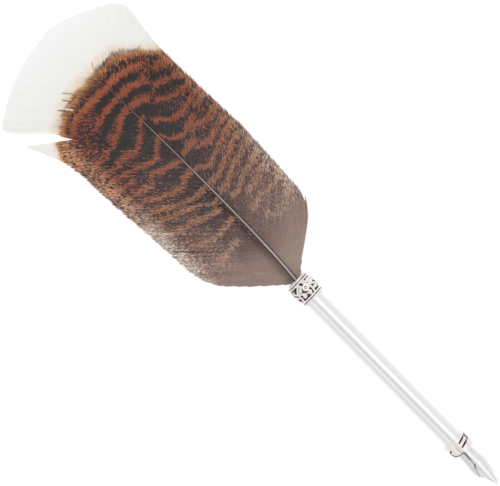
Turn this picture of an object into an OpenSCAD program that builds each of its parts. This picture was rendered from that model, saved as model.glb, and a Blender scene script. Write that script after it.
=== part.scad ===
// Feather quill pen lying on its back: +X runs to the nib, +Z is up.
// The origin is the centre of the whole pen's outline on the desk below it.

/* [Barrel] */
// Outside diameter of the barrel tube
barrel_d = 10.2; // [9.6:0.1:10.6]
// Wall of the barrel tube
barrel_wall = 0.35; // [0.3:0.05:0.4]
// Length of bare barrel seen between the end ring and the lower collar
barrel_len = 97.2; // [70:0.1:120]

/* [Collars] */
// Diameter of the lower collar
collar_d = 13.3; // [13.2:0.1:13.4]
// Largest diameter of the upper collar, the pen's thickest place, which it rests on
upper_mid_d = 13.8; // [13.7:0.1:14.4]
// Length of the upper, filigree collar
upper_len = 12.5; // [10:0.5:16]
// Length of the lower collar
lower_len = 8; // [7:0.5:10]
// Diameter of the rims at the ends of the upper collar
upper_rim_d = 12.8; // [12.4:0.1:13]
// Width of each rim on both collars
rim_w = 0.9; // [0.7:0.1:1.2]
// Depth of the upper collar's sunk ground
upper_depth = 0.85; // [0.6:0.05:0.9]
// Depth of the lower collar's sunk ground
ground_depth = 0.55; // [0.3:0.05:0.7]
// Length of the plain ring below the upper collar
ring_len = 1.1; // [0.8:0.1:2]
// Diameter of the plain ring below the upper collar
ring_d = 11.4; // [11:0.1:12]

/* [Nib] */
// Length of nib outside the lower collar
nib_out = 23.8; // [20:0.2:28]
// Length of nib shank held inside the pen
nib_in = 12; // [10:0.5:14]
// Outside radius of the rolled shank
nib_r = 4.4; // [4.3:0.05:4.4]
// Thickness of the nib's sheet steel
nib_t = 0.3; // [0.25:0.05:0.35]
// Half width of the nib at its shoulders
nib_shoulder = 5.05; // [4.8:0.05:5.4]
// Turn of the nib about the pen's axis
nib_roll = -15; // [-30:1:30]
// Width of the ink slit
slit_w = 0.15; // [0.1:0.05:0.3]

/* [Feather] */
// Length of feather beyond the upper collar
feather_len = 176.5; // [170:0.5:185]
// Thickness of the closed vanes
vane_t = 0.5; // [0.4:0.1:0.8]
// Radius of the quill where it enters the pen
quill_r = 1.25; // [1.1:0.05:1.4]
// Radius of the shaft at the feather's tip
shaft_tip_r = 0.25; // [0.2:0.05:0.4]
// Length of quill held inside the pen
quill_in = 11; // [8:1:13]
// Sideways bow of the shaft at its middle
bow = 1.75; // [0:0.25:3]
// Height that the feather falls from the collar to its tip
tip_fall = 5.4; // [4.8:0.1:5.6]
// Most that the vanes' edges droop below the shaft
edge_droop = 3.6; // [2:0.2:4]

/* [Hidden] */
$fn = 96;

silver = [0.86, 0.85, 0.84];
old_silver = [0.62, 0.58, 0.57];
steel = [0.8, 0.8, 0.8];
rust = [0.5, 0.29, 0.21];
fit = 0.03;          // glued and pressed sleeves
running = 0.07;      // the nib in its bush

// Stations along the pen, measured from the upper collar's feather end
ring_x = upper_len;
barrel_x = ring_x + ring_len;
lower_x = barrel_x + barrel_len;
nib_x = lower_x + lower_len;
tip_x = nib_x + nib_out;
axis_z = upper_mid_d / 2;
flange_t = 1.2;
lip_t = 1;
lip_clear = 0.1;
barrel_r = barrel_d / 2;
barrel_in_r = barrel_r - barrel_wall;
bush_in_r = nib_r + running;
nib_in_r = nib_r - nib_t;
nib_bush_len = nib_in + 2;
bush_x = nib_x - lip_t - nib_bush_len;

// The left vane's parting: it leaves the shaft, opens at its apex and ends at the spike's point
split_from = 98;
split_apex = 127;
split_reach = 29;    // the apex's distance from the pen's axis
spike_end = 143;

// ---- Feather outline: distance from the collar, then reach from the pen's axis ----
right_edge = [[0, 3.5], [5, 8.4], [10, 15.8], [20, 28.8], [26, 32.4], [40, 33.6], [70, 35.3],
              [100, 34.3], [130, 33.6], [150, 35.3], [157, 36.3], [163, 33], [168, 25],
              [174, 11], [feather_len, 2]];
left_edge = [[0, 3.5], [5, 8.5], [10, 14.8], [20, 25], [30, 32.4], [40, 35.2], [60, 36.5],
             [90, 38.9], [120, 41], [134, 46], [spike_end, 50.2]];
left_tip_edge = [[split_apex, split_reach], [134, 33.4], [140, 38], [148, 46.3], [152, 50.6], [156, 52.3],
                 [158, 51.6], [162, 46], [168, 35.5], [174, 18], [feather_len, 3]];
// Upper side of the loose lock that ends in a spike
spike_edge = [[split_apex, split_reach], [136, 40.6], [spike_end, 49.8]];

// Cubic curve through the points of p, at x
function span(x, p, i = 0) = (i < len(p) - 2 && x > p[i + 1][0]) ? span(x, p, i + 1) : i;
function rise(p, i) =
    let (a = max(i - 1, 0), b = min(i + 1, len(p) - 1))
    (p[b][1] - p[a][1]) / (p[b][0] - p[a][0]);
function curve(x, p) =
    let (i = span(x, p), h = p[i + 1][0] - p[i][0], s = (x - p[i][0]) / h)
    p[i][1] * (2 * pow(s, 3) - 3 * s * s + 1)
    + rise(p, i) * h * (pow(s, 3) - 2 * s * s + s)
    + p[i + 1][1] * (3 * s * s - 2 * pow(s, 3))
    + rise(p, i + 1) * h * (pow(s, 3) - s * s);

// The shaft's line, t mm from the collar: sideways place, height and radius
bow_t = 62;
function shaft_y(t) =
    t < bow_t ? bow * (1 - pow(1 - t / bow_t, 3))
              : bow - 2 * bow * pow((t - bow_t) / (feather_len - bow_t), 2);
function shaft_z(t) = axis_z - tip_fall * pow(t / feather_len, 1.8);
function shaft_r(t) = shaft_tip_r + (quill_r - shaft_tip_r) * max(0, 1 - t / 170);

// The vanes' height: each droops from the shaft towards its edge
droop_from = 50;
edge_clear = 1.4;
left_w = 41;
right_w = 35;
function droop(t) = min(edge_droop, shaft_z(t) - edge_clear) * pow(min(1, t / droop_from), 1.5);
function vane_z(t, y) =
    let (dy = y - shaft_y(t), w = dy < 0 ? left_w : right_w)
    shaft_z(t) - droop(t) * pow(abs(dy) / w, 1.8);

// Where each vane starts and ends across the feather
root = 0.35;         // the barbs' roots reach this deep into the shaft
function root_y(t, side) = shaft_y(t) + side * max(shaft_r(t) - root, 0.08);
function right_out(t) = curve(t, right_edge);
function left_out(t) = -curve(t, left_edge);
function split_y(t) = min(root_y(t, -1) - 0.1, -(t - split_from) * split_reach / (split_apex - split_from));
function left_in(t) =
    t < split_from ? root_y(t, -1)
    : t < split_apex ? split_y(t) - 0.02
    : -curve(t, spike_edge);
function left_tip_out(t) = t < split_apex ? split_y(t) : -curve(t, left_tip_edge);

// Rows along the feather, closer together at its ends
vane_from = 0.6;
spike_rows = [for (t = [split_apex : 4 : spike_end]) t];
left_rows = concat([vane_from, 3], [for (t = [6 : 4 : 94]) t], [split_from],
                   [for (t = [102 : 4 : 122]) t], spike_rows);
tip_rows = concat([split_from], [for (t = [102 : 4 : 122]) t], [split_apex],
                  [for (t = [131 : 4 : 151]) t], [for (t = [153 : 2 : 175]) t], [feather_len]);
right_rows = concat([vane_from, 3], [for (t = [6 : 4 : 150]) t], [for (t = [152 : 2 : 176]) t],
                    [feather_len]);

// The outline's limits, which place the origin
left_reach = min([for (t = tip_rows) left_tip_out(t)]);
right_reach = max([for (t = right_rows) right_out(t)]);
shift = [(feather_len - tip_x) / 2, -(left_reach + right_reach) / 2, 0];

// Puts a child drawn about the pen's own axis, pointing up Z, in its place
module along(x) {
    translate([x, 0, axis_z]) rotate([0, 90, 0]) children();
}

// A closed sheet between two lines across the feather
module vane(rows, inner, outer, cols) {
    n = len(rows);
    m = cols + 1;
    function at(i, j, lift) =
        let (t = rows[i], y = inner(t) + (outer(t) - inner(t)) * j / cols)
        [-t, y, vane_z(t, y) + lift];
    top = [for (i = [0 : n - 1]) for (j = [0 : cols]) at(i, j, vane_t / 2)];
    low = [for (i = [0 : n - 1]) for (j = [0 : cols]) at(i, j, -vane_t / 2)];
    k = n * m;
    function quad(a, b, c, d) = [[a, b, c], [a, c, d]];
    up = [for (i = [0 : n - 2]) for (j = [0 : cols - 1])
        each quad(i * m + j, (i + 1) * m + j, (i + 1) * m + j + 1, i * m + j + 1)];
    down = [for (i = [0 : n - 2]) for (j = [0 : cols - 1])
        each quad(k + i * m + j, k + i * m + j + 1, k + (i + 1) * m + j + 1, k + (i + 1) * m + j)];
    sides = [for (i = [0 : n - 2]) each concat(
        quad(i * m, k + i * m, k + (i + 1) * m, (i + 1) * m),
        quad(i * m + cols, (i + 1) * m + cols, k + (i + 1) * m + cols, k + i * m + cols))];
    ends = [for (j = [0 : cols - 1]) each concat(
        quad(j, j + 1, k + j + 1, k + j),
        quad((n - 1) * m + j, k + (n - 1) * m + j, k + (n - 1) * m + j + 1, (n - 1) * m + j + 1))];
    faces = concat(up, down, sides, ends);
    flip = outer(rows[1]) < inner(rows[1]);
    polyhedron(concat(top, low), flip ? faces : [for (f = faces) [f[2], f[1], f[0]]]);
}

// Quill inside the pen and shaft through the feather, one natural piece
module feather_shaft() {
    sides = 10;
    overlap = 0.4;       // of the straight quill with the bowed shaft
    ts = concat([0], [for (t = [4 : 6 : 172]) t]);
    n = len(ts);
    points = [for (t = ts) for (s = [0 : sides - 1]) let (a = 360 * s / sides, r = shaft_r(t))
        [-t, shaft_y(t) + r * cos(a), shaft_z(t) + r * sin(a)]];
    function next(s) = (s + 1) % sides;
    walls = [for (i = [0 : n - 2]) for (s = [0 : sides - 1]) each [
        [i * sides + s, (i + 1) * sides + next(s), (i + 1) * sides + s],
        [i * sides + s, i * sides + next(s), (i + 1) * sides + next(s)]]];
    root_end = [for (s = [1 : sides - 2]) [0, s + 1, s]];
    last = (n - 1) * sides;
    tip_end = [for (s = [1 : sides - 2]) [last, last + s, last + s + 1]];
    color([0.75, 0.72, 0.68]) translate(shift) {
        polyhedron(points, concat(walls, root_end, tip_end));
        along(-overlap) cylinder(h = quill_in + overlap, r = quill_r);
    }
}

module right_vane() {
    color(rust) translate(shift)
        vane(right_rows, function (t) root_y(t, 1), function (t) right_out(t), 8);
}

module left_vane() {
    color(rust) translate(shift)
        vane(left_rows, function (t) left_in(t), function (t) left_out(t), 8);
}

module left_tip_vane() {
    color([0.93, 0.92, 0.9]) translate(shift)
        vane(tip_rows, function (t) root_y(t, -1), function (t) left_tip_out(t), 8);
}

// Plug in the barrel's end that holds the quill
module feather_bush() {
    bush_len = quill_in + 3;
    color(old_silver) translate(shift) difference() {
        union() {
            along(0) cylinder(h = flange_t, r = barrel_r);
            along(0) cylinder(h = bush_len, r = barrel_in_r - fit);
        }
        along(-1) cylinder(h = bush_len + 2, r = quill_r + fit);
    }
}

// Cast collar with two rims, a sunk ground and raised scrolls round it
module upper_collar() {
    scrolls = 6;
    scroll_turn = 13;    // a scroll's two bosses stand this far either side of its middle
    scroll_place = 0.17 * upper_len;
    scroll_r = 1.75;
    eye_r = 0.85;
    stud_r = 0.8;
    neck = 0.4;          // the rims' inner edges are bevelled
    neck_len = 0.3;
    ground_from = 0.3 * upper_len;
    full_from = 0.36 * upper_len;
    mid_r = upper_mid_d / 2;
    ground_r = mid_r - upper_depth;
    rim_r = upper_rim_d / 2;
    color(old_silver) translate(shift) along(0) difference() {
        union() {
            rotate_extrude() polygon([
                [0, 0], [rim_r, 0], [rim_r, rim_w], [rim_r - neck, rim_w + neck_len],
                [ground_r, ground_from], [ground_r, upper_len - ground_from],
                [rim_r - neck, upper_len - rim_w - neck_len], [rim_r, upper_len - rim_w],
                [rim_r, upper_len], [0, upper_len]]);
            intersection() {
                rotate_extrude() polygon([
                    [0, rim_w], [rim_r, rim_w], [mid_r, full_from], [mid_r, upper_len - full_from],
                    [rim_r, upper_len - rim_w], [0, upper_len - rim_w]]);
                union() for (i = [0 : scrolls - 1]) rotate([0, 0, i * 360 / scrolls])
                    translate([0, 0, upper_len / 2]) {
                        for (a = [-1, 1]) rotate([0, 0, a * scroll_turn])
                            translate([0, 0, a * scroll_place]) rotate([0, 90, 0]) difference() {
                                cylinder(h = mid_r + 1, r = scroll_r);
                                cylinder(h = mid_r + 2, r = eye_r);
                            }
                        rotate([0, 0, 180 / scrolls]) rotate([0, 90, 0])
                            cylinder(h = mid_r + 1, r = stud_r);
                    }
            }
        }
        translate([0, 0, -1]) cylinder(h = upper_len + 2, r = barrel_r + fit);
    }
}

// Plain turned ring below the upper collar
module end_ring() {
    edge = 0.3;
    color(silver) translate(shift) along(ring_x) difference() {
        rotate_extrude() polygon([
            [0, 0], [ring_d / 2, 0], [ring_d / 2, ring_len - edge],
            [ring_d / 2 - edge, ring_len], [0, ring_len]]);
        translate([0, 0, -1]) cylinder(h = ring_len + 2, r = barrel_r + fit);
    }
}

// Polished tube that runs inside both collars
module barrel_tube() {
    from = flange_t;
    color(silver) translate(shift) along(from) difference() {
        cylinder(h = nib_x - lip_t - from, r = barrel_r);
        translate([0, 0, -1]) cylinder(h = nib_x, r = barrel_in_r);
    }
}

// Short cast collar round the barrel's nib end, with a lip over the tube's edge
module lower_collar() {
    panels = 4;
    boss_r = 2.4;
    r = collar_d / 2;
    ground_r = r - ground_depth;
    color(old_silver) translate(shift) along(lower_x) difference() {
        union() {
            cylinder(h = rim_w, r = r);
            translate([0, 0, lower_len - rim_w]) cylinder(h = rim_w, r = r);
            cylinder(h = lower_len, r = ground_r);
            intersection() {
                cylinder(h = lower_len, r = r);
                for (i = [0 : panels - 1]) rotate([0, 0, (i + 0.5) * 360 / panels])
                    translate([0, 0, lower_len / 2]) rotate([0, 90, 0]) cylinder(h = r + 1, r = boss_r);
            }
        }
        translate([0, 0, -1]) cylinder(h = lower_len - lip_t + 1, r = barrel_r + fit);
        cylinder(h = lower_len + 1, r = bush_in_r + lip_clear);
    }
}

// Sleeve inside the barrel that the nib slides into
module nib_bush() {
    color(steel) translate(shift) along(bush_x) difference() {
        cylinder(h = nib_bush_len, r = barrel_in_r - fit);
        translate([0, 0, -1]) cylinder(h = nib_bush_len + 2, r = bush_in_r);
    }
}

// Spring clip with four petals that grips the nib's shank from inside
module nib_clip() {
    petal_r = nib_in_r - 0.05;
    petal_t = 0.4;
    slot = 0.8;
    base_t = 1.6;
    base_hole_r = 1.5;
    slot_from = base_t + 0.6;
    color([0.7, 0.62, 0.4]) translate(shift) along(bush_x) {
        difference() {
            union() {
                cylinder(h = base_t, r = bush_in_r - fit);
                cylinder(h = nib_in, r = petal_r);
            }
            translate([0, 0, base_t]) cylinder(h = nib_in, r = petal_r - petal_t);
            for (a = [0, 90]) rotate([0, 0, a + 45])
                translate([-nib_r - 1, -slot / 2, slot_from]) cube([2 * nib_r + 2, slot, nib_in]);
            translate([0, 0, -1]) cylinder(h = base_t + 2, r = base_hole_r);
        }
    }
}

// Half widths of the nib's blank, from its tip back to the shank
function nib_plan() = [
    [0, 0.3], [1, 0.75], [3, 1.4], [5, 2.05], [7, 3], [9, 4.1], [11, 4.8], [13.5, nib_shoulder],
    [18, 4.55], [21, nib_r], [nib_out + nib_in, nib_r]];

// Steel pointed nib: rolled shank, shoulders, slit, breather hole and tip pellet
module nib() {
    front = 13.5;                    // from the tip to the shoulders
    tip_slope = 15;                  // fall of the nib's back from shoulders to tip
    front_r = nib_shoulder + 0.1;
    tip_r = 3;
    cone_len = front + 2;
    tilt = tip_slope - atan((front_r - tip_r) / cone_len);
    pellet_r = 0.6;
    hole_r = 0.6;                    // breather hole at the slit's end
    wrap = 1.1;                      // the shank's edges lie this far below the axis
    module skin(t) {
        translate([nib_x - nib_in, 0, 0]) rotate([0, 90, 0]) cylinder(h = nib_in + 4, r = nib_r - t);
        translate([nib_x + 3, 0, 0]) rotate([0, 90, 0])
            cylinder(h = nib_out - front - 3, r1 = nib_r - t, r2 = front_r - t);
        translate([tip_x - front, 0, front_r - t]) rotate([0, tilt, 0])
            translate([-0.5, 0, t - front_r]) rotate([0, 90, 0])
                cylinder(h = cone_len, r1 = front_r - t, r2 = tip_r - t);
    }
    plan = nib_plan();
    outline = concat([for (p = plan) [tip_x - p[0], p[1]]],
                     [for (i = [len(plan) - 1 : -1 : 0]) [tip_x - plan[i][0], -plan[i][1]]]);
    color(steel) translate(shift) translate([0, 0, axis_z]) rotate([nib_roll, 0, 0]) {
        difference() {
            intersection() {
                difference() {
                    skin(0);
                    skin(nib_t);
                    translate([nib_x - nib_in - 1, 0, 0]) rotate([0, 90, 0])
                        cylinder(h = nib_in + 3, r = nib_in_r);
                }
                translate([0, 0, -wrap]) linear_extrude(nib_shoulder + wrap + 1) polygon(outline);
            }
            translate([tip_x - front + 1, -slit_w / 2, 0]) cube([front - pellet_r - 0.4, slit_w, 9]);
            translate([tip_x - front, 0, 0]) cylinder(h = 9, r = hole_r);
        }
        translate([tip_x - pellet_r, 0, front_r - nib_t / 2 - (front - pellet_r) * tan(tip_slope)])
            sphere(pellet_r);
    }
}

feather_shaft();
left_vane();
left_tip_vane();
right_vane();
feather_bush();
upper_collar();
end_ring();
barrel_tube();
lower_collar();
nib_bush();
nib_clip();
nib();
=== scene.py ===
"""Looks of a feather quill pen that lies on a pale desk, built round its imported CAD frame."""

import math

import bmesh
import bpy
import numpy as np
from mathutils import Matrix, Vector


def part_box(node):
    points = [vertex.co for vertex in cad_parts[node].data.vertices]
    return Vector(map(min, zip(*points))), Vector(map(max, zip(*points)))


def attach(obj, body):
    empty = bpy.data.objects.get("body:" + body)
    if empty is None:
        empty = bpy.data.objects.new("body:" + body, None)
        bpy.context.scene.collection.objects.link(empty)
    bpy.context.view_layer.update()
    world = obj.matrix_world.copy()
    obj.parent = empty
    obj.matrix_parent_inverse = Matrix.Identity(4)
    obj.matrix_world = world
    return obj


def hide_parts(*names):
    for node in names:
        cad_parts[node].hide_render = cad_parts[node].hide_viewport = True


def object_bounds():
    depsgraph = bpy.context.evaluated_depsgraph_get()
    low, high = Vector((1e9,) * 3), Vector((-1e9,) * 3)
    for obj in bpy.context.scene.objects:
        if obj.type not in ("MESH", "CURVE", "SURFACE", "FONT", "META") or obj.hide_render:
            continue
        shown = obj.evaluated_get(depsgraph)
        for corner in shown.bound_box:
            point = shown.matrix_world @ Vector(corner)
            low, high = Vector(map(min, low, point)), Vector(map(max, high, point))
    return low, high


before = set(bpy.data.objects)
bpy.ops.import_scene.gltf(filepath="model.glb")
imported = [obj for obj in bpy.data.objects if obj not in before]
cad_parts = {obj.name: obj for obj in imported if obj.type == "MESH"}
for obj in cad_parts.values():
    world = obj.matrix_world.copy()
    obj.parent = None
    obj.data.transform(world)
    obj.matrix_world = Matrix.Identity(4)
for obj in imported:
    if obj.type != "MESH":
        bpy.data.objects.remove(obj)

cad_low, cad_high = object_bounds()

# ---- Places, from the frame ----
# The looks are drawn in pen coordinates in millimetres: u runs from the upper collar's feather end
# towards the nib, t = -u runs the other way up the feather, y is measured from the pen's axis.
MM = 0.001
upper_low, upper_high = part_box("upper_collar")
ring_low, ring_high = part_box("end_ring")
lower_low, lower_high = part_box("lower_collar")
tube_low, tube_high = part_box("barrel_tube")
nib_low, nib_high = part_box("nib")
START = upper_low.x / MM
AXIS_Y = (tube_low.y + tube_high.y) / 2 / MM
AXIS_Z = (tube_low.z + tube_high.z) / 2 / MM
UPPER_LEN = (upper_high.x - upper_low.x) / MM
RING_LEN = (ring_high.x - ring_low.x) / MM
LOWER_FROM = (lower_low.x - upper_low.x) / MM
LOWER_LEN = (lower_high.x - lower_low.x) / MM
NIB_FROM = (nib_low.x - upper_low.x) / MM
NIB_TIP = (nib_high.x - upper_low.x) / MM
NIB_OUT = (nib_high.x - lower_high.x) / MM
FEATHER_LEN = (upper_low.x - cad_low.x) / MM
BARREL_R = (tube_high.y - tube_low.y) / 2 / MM
LOWER_R = (lower_high.y - lower_low.y) / 2 / MM
UPPER_R = (upper_high.y - upper_low.y) / 2 / MM
RING_R = (ring_high.y - ring_low.y) / 2 / MM
SLEEVE_R = BARREL_R + 0.03    # bore of each ring on the barrel

rng = np.random.default_rng(7)


def smooth(x, low, high):
    """0 below low, 1 above high, with no corner between."""
    s = np.clip((x - low) / (high - low), 0, 1)
    return s * s * (3 - 2 * s)


def curve(x, points):
    """Cubic curve through points, the same as in the CAD source."""
    p = np.array(points, float)
    x = np.clip(x, p[0, 0], p[-1, 0])
    before = np.maximum(np.arange(len(p)) - 1, 0)
    after = np.minimum(np.arange(len(p)) + 1, len(p) - 1)
    slope = (p[after, 1] - p[before, 1]) / (p[after, 0] - p[before, 0])
    i = np.clip(np.searchsorted(p[:, 0], x) - 1, 0, len(p) - 2)
    h = p[i + 1, 0] - p[i, 0]
    s = (x - p[i, 0]) / h
    return (
        p[i, 1] * (2 * s**3 - 3 * s**2 + 1)
        + slope[i] * h * (s**3 - 2 * s**2 + s)
        + p[i + 1, 1] * (3 * s**2 - 2 * s**3)
        + slope[i + 1] * h * (s**3 - s**2)
    )


class Cloud:
    """Smooth random values on a plane, the same on every run."""

    def __init__(self, seed, size=64):
        self.size = size
        self.grid = np.random.default_rng(seed).random((size, size))

    def __call__(self, a, b):
        a, b = np.broadcast_arrays(np.asarray(a, float), np.asarray(b, float))
        i, j = np.floor(a).astype(int), np.floor(b).astype(int)
        fa, fb = smooth(a - i, 0, 1), smooth(b - j, 0, 1)
        g, n = self.grid, self.size
        low = g[i % n, j % n] * (1 - fa) + g[(i + 1) % n, j % n] * fa
        high = g[i % n, (j + 1) % n] * (1 - fa) + g[(i + 1) % n, (j + 1) % n] * fa
        return 2 * (low * (1 - fb) + high * fb) - 1


def world_points(u, y, z):
    """Pen coordinates in millimetres to places in the row frame, in metres."""
    u, y, z = np.broadcast_arrays(u, y, z)
    return np.stack([START + u, AXIS_Y + y, z], -1).reshape(-1, 3) * MM


def linear(text):
    """A colour written as #rrggbb, as linear light."""
    c = np.array([int(text[i : i + 2], 16) for i in (1, 3, 5)]) / 255
    return np.where(c <= 0.04045, c / 12.92, ((c + 0.055) / 1.055) ** 2.4)


def colour_at(x, stops):
    """Colours along a list of (place, #rrggbb)."""
    places = [s[0] for s in stops]
    shades = np.array([linear(s[1]) for s in stops])
    return np.stack([np.interp(x, places, shades[:, k]) for k in range(3)], -1)


def mix(a, b, share):
    """Colours between a and b."""
    return a + (b - a) * np.asarray(share)[..., None]


def distance(u, y, a, b):
    """How far each place is from the straight line between two points."""
    d = b - a
    s = np.clip(((u - a[0]) * d[0] + (y - a[1]) * d[1]) / max(d @ d, 1e-9), 0, 1)
    return np.hypot(u - a[0] - s * d[0], y - a[1] - s * d[1])


def stroke_height(u, arc, path, half, height):
    """Rounded ridge along a path of (u, arc) points, in mm."""
    p = np.array(path, float)
    best = np.full(u.shape, 1e9)
    for a, b in zip(p[:-1], p[1:]):
        best = np.minimum(best, distance(u, arc, a, b))
    return height * np.sqrt(np.clip(1 - (best / half) ** 2, 0, 1))


def put(name, data):
    """A new object in the scene."""
    thing = bpy.data.objects.new(name, data)
    bpy.context.scene.collection.objects.link(thing)
    return thing


def add_mesh(name, points, faces, material, body, nodes, soft=False):
    """A piece from points in metres, its material and its place in the frame."""
    mesh = bpy.data.meshes.new(name)
    mesh.from_pydata(np.asarray(points).tolist(), [], [list(map(int, f)) for f in faces])
    mesh.materials.append(material)
    mesh.polygons.foreach_set("use_smooth", [soft] * len(mesh.polygons))
    mesh.update()
    piece = put(name, mesh)
    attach(piece, body)
    if nodes:
        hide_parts(*nodes)
    return piece


def paint(piece, name, colours):
    """Stores a colour at each vertex for the material to read."""
    layer = piece.data.color_attributes.new(name, "FLOAT_COLOR", "POINT")
    rgba = np.ones((len(colours), 4), np.float32)
    rgba[:, :3] = colours
    layer.data.foreach_set("color", rgba.ravel())


def weigh(piece, name, values):
    """Stores a number at each vertex for the material to read."""
    layer = piece.data.attributes.new(name, "FLOAT", "POINT")
    layer.data.foreach_set("value", np.asarray(values, np.float32))


# ---- Materials ----
class Nodes:
    """A new material, or the world, and short calls to fill its node tree."""

    def __init__(self, name, world=None):
        self.material = world or bpy.data.materials.new(name)
        self.material.use_nodes = True
        self.tree = self.material.node_tree
        self.shader = self.tree.nodes.get("Principled BSDF")

    def plug(self, value, socket):
        """Links a node's output to a socket, or sets the socket itself."""
        if isinstance(value, bpy.types.NodeSocket):
            self.tree.links.new(value, socket)
        elif socket.type == "RGBA":
            socket.default_value = (*value, 1)[:4]
        else:
            socket.default_value = value

    def add(self, kind, inputs=(), **settings):
        node = self.tree.nodes.new(kind)
        for key, value in settings.items():
            setattr(node, key, value)
        for key, value in dict(inputs).items():
            self.plug(value, node.inputs[key])
        return node

    def set(self, **inputs):
        """Fills the shader's sockets, named with _ for a space."""
        for key, value in inputs.items():
            self.plug(value, self.shader.inputs[key.replace("_", " ")])

    def place(self, scale=(1, 1, 1)):
        """Object coordinates, stretched."""
        where = self.add("ShaderNodeTexCoord").outputs["Object"]
        return self.add("ShaderNodeMapping", {"Vector": where, "Scale": scale}).outputs[0]

    def noise(self, scale, stretch=(1, 1, 1), detail=3.0, rough=0.55):
        return self.add(
            "ShaderNodeTexNoise",
            {"Vector": self.place(stretch), "Scale": scale, "Detail": detail, "Roughness": rough},
        ).outputs["Fac"]

    def read(self, name, output="Fac"):
        """What the mesh stores under this name."""
        return self.add("ShaderNodeAttribute", attribute_name=name).outputs[output]

    def math(self, operation, a, b):
        return self.add("ShaderNodeMath", {0: a, 1: b}, operation=operation).outputs[0]

    def scaled(self, colour, factor):
        """A colour made lighter or darker by a number."""
        grey = self.add("ShaderNodeCombineColor", {"Red": factor, "Green": factor, "Blue": factor})
        return self.blend(colour, grey.outputs[0], 1.0, "MULTIPLY")

    def between(self, value, low, high, start=0.0, end=1.0):
        """Turns start..end of a value into low..high."""
        return self.add(
            "ShaderNodeMapRange",
            {"Value": value, "From Min": start, "From Max": end, "To Min": low, "To Max": high},
        ).outputs[0]

    def blend(self, a, b, share, mode="MIX"):
        inputs = {0: share, 6: a, 7: b}
        return self.add("ShaderNodeMix", inputs, data_type="RGBA", blend_type=mode).outputs[2]

    def bump(self, height, strength, distance=0.0001):
        inputs = {"Height": height, "Strength": strength, "Distance": distance}
        return self.add("ShaderNodeBump", inputs).outputs[0]


def plumage_material():
    """Each barb is dark or light along its length, with ragged changes from one to the other."""
    m = Nodes("plumage")
    dark, light = m.read("dark_barb", "Color"), m.read("light_barb", "Color")
    warm, fleck = m.read("warm"), m.read("fleck")
    place = m.read("barb", "Vector")
    rough = {"Scale": 0.56, "Detail": 2.5, "Roughness": 0.65}
    speck = m.add("ShaderNodeTexNoise", {"Vector": place, **rough}).outputs["Fac"]
    ragged = m.math("MULTIPLY", m.between(speck, -1.7, 1.7), fleck)
    level = m.math("ADD", warm, ragged)
    share = m.between(level, 0.0, 1.0, 0.25, 0.75)
    finer = m.add("ShaderNodeMapping", {"Vector": place, "Scale": (1.9, 1.6, 1), "Location": (40, 9, 0)})
    grain = m.add("ShaderNodeTexNoise", {"Vector": finer.outputs[0], **rough}).outputs["Fac"]
    shift = m.math("MULTIPLY", m.between(grain, -0.9, 0.9), m.math("MULTIPLY", fleck, 0.8))
    m.set(
        Base_Color=m.scaled(m.blend(dark, light, share), m.math("ADD", shift, 1.0)),
        Roughness=m.between(grain, 0.62, 0.86),
        Normal=m.bump(grain, 0.2),
        Sheen_Weight=0.06,
        Sheen_Roughness=0.5,
        Specular_IOR_Level=0.2,
    )
    return m.material


def horn_material():
    """The shaft's horn, streaked along its length."""
    m = Nodes("horn_shaft")
    shade = m.read("horn", "Color")
    streak = m.noise(900, (0.08, 1, 1))
    m.set(
        Base_Color=m.scaled(shade, m.between(streak, 0.85, 1.12, 0.3, 0.7)),
        Roughness=m.between(streak, 0.32, 0.5),
        Normal=m.bump(streak, 0.2),
    )
    return m.material


def cast_material():
    """Antique silver: bright where it is rubbed, dark in the recesses."""
    m = Nodes("cast_silver")
    height = m.read("relief")
    grime = m.noise(700, detail=5.0)
    level = m.math("ADD", height, m.between(grime, -0.16, 0.16))
    clean = m.between(level, 0.0, 1.0, 0.18, 0.62)
    silver = m.blend((0.96, 0.88, 0.875), (1.0, 0.965, 0.96), m.between(grime, 0, 1, 0.3, 0.7))
    m.set(
        Base_Color=m.blend((0.062, 0.045, 0.048), silver, clean),
        Metallic=m.between(clean, 0.35, 1.0),
        Roughness=m.between(clean, 0.6, 0.24),
        Normal=m.bump(m.noise(1800, detail=4.0), 0.18),
    )
    return m.material


def polished_material():
    """Bright metal with faint lengthwise polishing marks."""
    m = Nodes("polished_metal")
    streak = m.noise(500, (0.03, 1, 1), 4.0)
    soft_patch = m.noise(60, detail=4.0)
    m.set(
        Base_Color=m.blend((0.93, 0.935, 0.94), (0.99, 0.99, 0.99), soft_patch),
        Metallic=1.0,
        Roughness=m.between(soft_patch, 0.10, 0.2),
        Normal=m.bump(streak, 0.04, 0.00005),
    )
    return m.material


def nib_material():
    """Polished steel, darkened along its creases by painted shade and a painted dark reflection."""
    m = Nodes("nib_steel")
    crease = m.read("crease")
    patchiness = m.noise(380, detail=5.0)
    # Painted shade and painted dark reflection along the crease, made patchy by noise
    crease_shade = m.math("MULTIPLY", crease, m.between(patchiness, 0.7, 1.2))
    steel = m.blend((0.86, 0.84, 0.84), (0.97, 0.96, 0.96), m.between(patchiness, 0, 1, 0.3, 0.7))
    m.set(
        Base_Color=m.blend(steel, (0.12, 0.11, 0.11), m.between(crease_shade, 0, 0.85)),
        Metallic=m.between(crease_shade, 1.0, 0.7),
        Roughness=m.between(patchiness, 0.14, 0.26),
        Normal=m.bump(patchiness, 0.05),
    )
    return m.material


def turned_material(name, dark, light, rough):
    """Turned or spring metal with fine rings round its length."""
    m = Nodes(name)
    rings = m.noise(900, (1, 0.05, 0.05))
    m.set(
        Base_Color=m.blend(dark, light, rings),
        Metallic=1.0,
        Roughness=m.between(rings, rough, rough + 0.15),
        Normal=m.bump(rings, 0.15),
    )
    return m.material


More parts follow.
